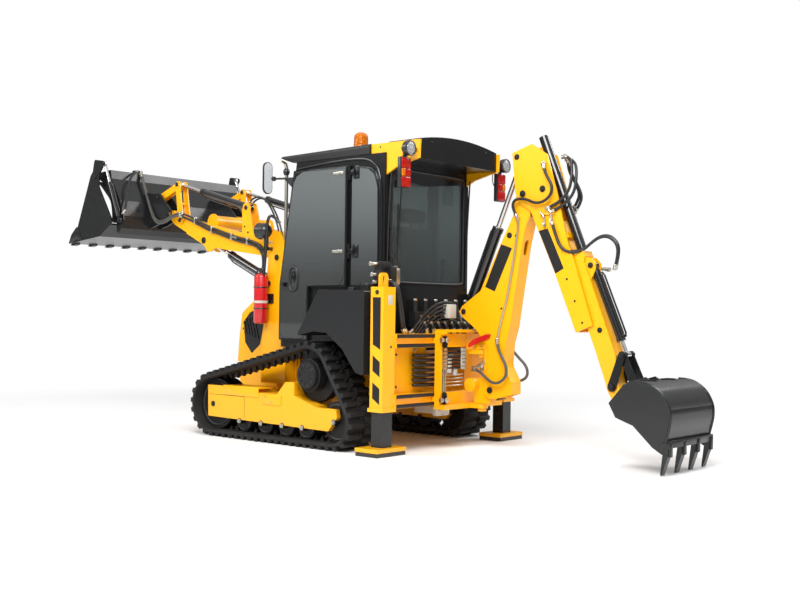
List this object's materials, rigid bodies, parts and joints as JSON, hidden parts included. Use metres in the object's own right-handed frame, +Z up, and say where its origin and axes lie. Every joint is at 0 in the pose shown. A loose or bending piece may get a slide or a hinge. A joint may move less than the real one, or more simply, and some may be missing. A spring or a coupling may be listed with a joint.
{
  "type": "backhoe loader",
  "caption": "Compact rubber-tracked backhoe loader with a cab, a clamshell loader bucket, a side-shifting backhoe with an extending dipper, and two stabiliser legs.",
  "frame": {"origin": "on the ground under the middle of the machine's length and width", "axes": "+X forwards to the loader bucket, +Y to the machine's left, +Z up"},
  "size_m": [5.826, 1.746, 2.3575],
  "materials": {
    "yellow_paint": "semi-gloss",
    "black_paint": "semi-gloss",
    "grey_paint": "semi-gloss",
    "rubber": "matt",
    "cab_glass": "clear",
    "chrome": "polished",
    "steel": "satin",
    "red_paint": "gloss",
    "lamp_plastic": "gloss",
    "seat_cover": "matt"
  },
  "bodies": {
    "chassis": {"chassis_frame": "black_paint", "engine_block": "grey_paint", "track_left": "rubber", "track_right": "rubber", "track_frames": "black_paint", "rollers_and_idlers": "grey_paint", "drive_sprockets": "yellow_paint", "loader_towers": "yellow_paint", "cab_frame": "black_paint", "cab_glass": "cab_glass", "cab_roof": "black_paint", "roof_canopy": "yellow_paint", "rear_visor": "black_paint", "operator_seat": "seat_cover", "control_consoles": "black_paint", "side_tanks": "black_paint", "rear_frame": "yellow_paint", "tow_bracket": "steel", "lamps_and_mirrors": "lamp_plastic", "fire_extinguisher": "red_paint", "valve_bank": "black_paint"},
    "hood": {"hood": "yellow_paint", "hood_grilles": "black_paint"},
    "door": {"cab_door": "black_paint", "door_glass": "cab_glass"},
    "loader_arms": {"loader_arms": "yellow_paint"},
    "lift_barrels": {"lift_ram_barrel": "black_paint"},
    "lift_rods": {"lift_ram_rod": "chrome"},
    "tilt_levers": {"tilt_levers": "yellow_paint"},
    "tilt_links": {"tilt_links": "yellow_paint"},
    "tilt_barrels": {"tilt_ram_barrel": "black_paint"},
    "tilt_rods": {"tilt_ram_rod": "chrome"},
    "loader_bucket": {"bucket_blade": "black_paint"},
    "clam": {"bucket_clam": "black_paint"},
    "clam_barrels": {"clam_ram_barrel": "black_paint"},
    "clam_rods": {"clam_ram_rod": "chrome"},
    "carriage": {"carriage": "yellow_paint", "rail_clamps": "black_paint"},
    "kingpost": {"kingpost": "yellow_paint", "lock_lever": "red_paint"},
    "boom": {"boom": "yellow_paint"},
    "boom_ram_barrel": {"boom_ram_barrel": "black_paint"},
    "boom_ram_rod": {"boom_ram_rod": "chrome"},
    "dipper": {"dipper": "yellow_paint", "extension_ram": "black_paint"},
    "dipper_ram_barrel": {"dipper_ram_barrel": "black_paint"},
    "dipper_ram_rod": {"dipper_ram_rod": "chrome"},
    "inner_dipper": {"inner_dipper": "yellow_paint", "extension_rod": "chrome"},
    "bucket_ram_barrel": {"bucket_ram_barrel": "black_paint"},
    "bucket_ram_rod": {"bucket_ram_rod": "chrome"},
    "bucket_lever": {"bucket_lever": "yellow_paint"},
    "bucket_link": {"bucket_link": "yellow_paint"},
    "hoe_bucket": {"hoe_bucket": "black_paint"},
    "stabiliser_left": {"stabiliser_left": "black_paint"},
    "stabiliser_right": {"stabiliser_right": "black_paint"}
  },
  "joints": [
    {"name": "hood_lift", "type": "hinge", "parent": "chassis", "child": "hood", "pos_m": [0.34, 0, 1.16], "axis": [0, -1, 0], "range_deg": [0, 60]},
    {"name": "door_swing", "type": "hinge", "parent": "chassis", "child": "door", "pos_m": [-0.442, 0.515, 1.75], "axis": [0, 0, 1], "range_deg": [0, 110]},
    {"name": "loader_lift", "type": "hinge", "parent": "chassis", "child": "loader_arms", "pos_m": [0.411, 0, 1.431], "axis": [0, -1, 0], "range_deg": [-63, 27]},
    {"name": "lift_barrel_turn", "type": "hinge", "parent": "chassis", "child": "lift_barrels", "pos_m": [0.498, 0, 1.225], "axis": [0, -1, 0], "range_deg": [-67.53, 28.95]},
    {"name": "lift_rod_slide", "type": "slide", "parent": "lift_barrels", "child": "lift_rods", "axis": [0.9178, 0, 0.397], "range_m": [-0.20483, 0.08779]},
    {"name": "bucket_tilt", "type": "hinge", "parent": "loader_arms", "child": "loader_bucket", "pos_m": [1.853, 0, 1.852], "axis": [0, 1, 0], "range_deg": [-60, 55]},
    {"name": "tilt_lever_turn", "type": "hinge", "parent": "loader_arms", "child": "tilt_levers", "pos_m": [1.708, 0, 1.792], "axis": [0, -1, 0], "range_deg": [-36.64, 39.97]},
    {"name": "tilt_link_turn", "type": "hinge", "parent": "tilt_levers", "child": "tilt_links", "pos_m": [1.758, 0, 2.112], "axis": [0, -1, 0], "range_deg": [-8.49, 7.78]},
    {"name": "tilt_barrel_turn", "type": "hinge", "parent": "loader_arms", "child": "tilt_barrels", "pos_m": [0.828, 0, 1.857], "axis": [0, -1, 0], "range_deg": [-3.73, 4.07]},
    {"name": "tilt_rod_slide", "type": "slide", "parent": "tilt_barrels", "child": "tilt_rods", "axis": [0.9644, 0, 0.2644], "range_m": [-0.20255, 0.18567]},
    {"name": "clam", "type": "hinge", "parent": "loader_bucket", "child": "clam", "pos_m": [2.468, 0, 2.195], "axis": [0, -1, 0], "range_deg": [0, 58]},
    {"name": "clam_barrel_turn", "type": "hinge", "parent": "loader_bucket", "child": "clam_barrels", "pos_m": [2.133, 0, 1.79], "axis": [0, -1, 0], "range_deg": [-0.18, 0.01]},
    {"name": "clam_rod_slide", "type": "slide", "parent": "clam_barrels", "child": "clam_rods", "axis": [0.4109, 0, 0.9117], "range_m": [-0.14758, 0.00001]},
    {"name": "side_shift", "type": "slide", "parent": "chassis", "child": "carriage", "axis": [0, 1, 0], "range_m": [-0.18, 0.4]},
    {"name": "swing", "type": "hinge", "parent": "carriage", "child": "kingpost", "pos_m": [-1.234, -0.11, 0.5], "axis": [0, 0, -1], "range_deg": [-90, 90]},
    {"name": "boom_lift", "type": "hinge", "parent": "kingpost", "child": "boom", "pos_m": [-1.351, -0.11, 0.442], "axis": [0, -1, 0], "range_deg": [0, 70]},
    {"name": "boom_barrel_turn", "type": "hinge", "parent": "kingpost", "child": "boom_ram_barrel", "pos_m": [-1.307, -0.11, 0.78], "axis": [0, -1, 0], "range_deg": [-0.01, 83.18]},
    {"name": "boom_rod_slide", "type": "slide", "parent": "boom_ram_barrel", "child": "boom_ram_rod", "axis": [-0.2454, 0, 0.9694], "range_m": [-0.00001, 0.32224]},
    {"name": "dipper_swing", "type": "hinge", "parent": "boom", "child": "dipper", "pos_m": [-1.632, -0.11, 1.862], "axis": [0, 1, 0], "range_deg": [-12, 100]},
    {"name": "dipper_barrel_turn", "type": "hinge", "parent": "boom", "child": "dipper_ram_barrel", "pos_m": [-1.101, -0.11, 1.015], "axis": [0, -1, 0], "range_deg": [-6.79, 0.83]},
    {"name": "dipper_rod_slide", "type": "slide", "parent": "dipper_ram_barrel", "child": "dipper_ram_rod", "axis": [-0.3912, 0, 0.9203], "range_m": [-0.39993, 0.048]},
    {"name": "dipper_extend", "type": "slide", "parent": "dipper", "child": "inner_dipper", "axis": [-0.3746, 0, -0.9272], "range_m": [0, 0.35]},
    {"name": "hoe_bucket_curl", "type": "hinge", "parent": "inner_dipper", "child": "hoe_bucket", "pos_m": [-2.412, -0.11, 0.42], "axis": [0, -1, 0], "range_deg": [-5, 120]},
    {"name": "bucket_lever_turn", "type": "hinge", "parent": "inner_dipper", "child": "bucket_lever", "pos_m": [-2.36, -0.11, 0.52], "axis": [0, -1, 0], "range_deg": [-3.87, 92.62]},
    {"name": "bucket_link_turn", "type": "hinge", "parent": "bucket_lever", "child": "bucket_link", "pos_m": [-2.434, -0.11, 0.737], "axis": [0, -1, 0], "range_deg": [-36.31, 1.53]},
    {"name": "bucket_barrel_turn", "type": "hinge", "parent": "inner_dipper", "child": "bucket_ram_barrel", "pos_m": [-2.174, -0.11, 1.342], "axis": [0, -1, 0], "range_deg": [-4.19, 0.19]},
    {"name": "bucket_rod_slide", "type": "slide", "parent": "bucket_ram_barrel", "child": "bucket_ram_rod", "axis": [-0.3948, 0, -0.9188], "range_m": [-0.01398, 0.33507]},
    {"name": "stabiliser_left_slide", "type": "slide", "parent": "chassis", "child": "stabiliser_left", "axis": [0, 0, 1], "range_m": [-0.1, 0.235]},
    {"name": "stabiliser_right_slide", "type": "slide", "parent": "chassis", "child": "stabiliser_right", "axis": [0, 0, 1], "range_m": [-0.1, 0.235]}
  ],
  "couplings": [
    {"joint": "lift_barrel_turn", "follows": "loader_lift", "ratio": 1.0717},
    {"joint": "lift_rod_slide", "follows": "loader_lift", "m_per_rad": 0.18627},
    {"joint": "tilt_lever_turn", "follows": "bucket_tilt", "ratio": -0.66597},
    {"joint": "tilt_link_turn", "follows": "bucket_tilt", "ratio": 0.14125},
    {"joint": "tilt_barrel_turn", "follows": "bucket_tilt", "ratio": -0.067608},
    {"joint": "tilt_rod_slide", "follows": "bucket_tilt", "m_per_rad": 0.19341},
    {"joint": "clam_barrel_turn", "follows": "clam", "ratio": -0.002867},
    {"joint": "clam_rod_slide", "follows": "clam", "m_per_rad": -0.14578},
    {"joint": "boom_barrel_turn", "follows": "boom_lift", "ratio": 1.1881},
    {"joint": "boom_rod_slide", "follows": "boom_lift", "m_per_rad": 0.26375},
    {"joint": "dipper_barrel_turn", "follows": "dipper_swing", "ratio": -0.067731},
    {"joint": "dipper_rod_slide", "follows": "dipper_swing", "m_per_rad": -0.22913},
    {"joint": "bucket_lever_turn", "follows": "hoe_bucket_curl", "ratio": 0.77171},
    {"joint": "bucket_link_turn", "follows": "hoe_bucket_curl", "ratio": -0.30243},
    {"joint": "bucket_barrel_turn", "follows": "hoe_bucket_curl", "ratio": -0.034832},
    {"joint": "bucket_rod_slide", "follows": "hoe_bucket_curl", "m_per_rad": 0.15998}
  ]
}
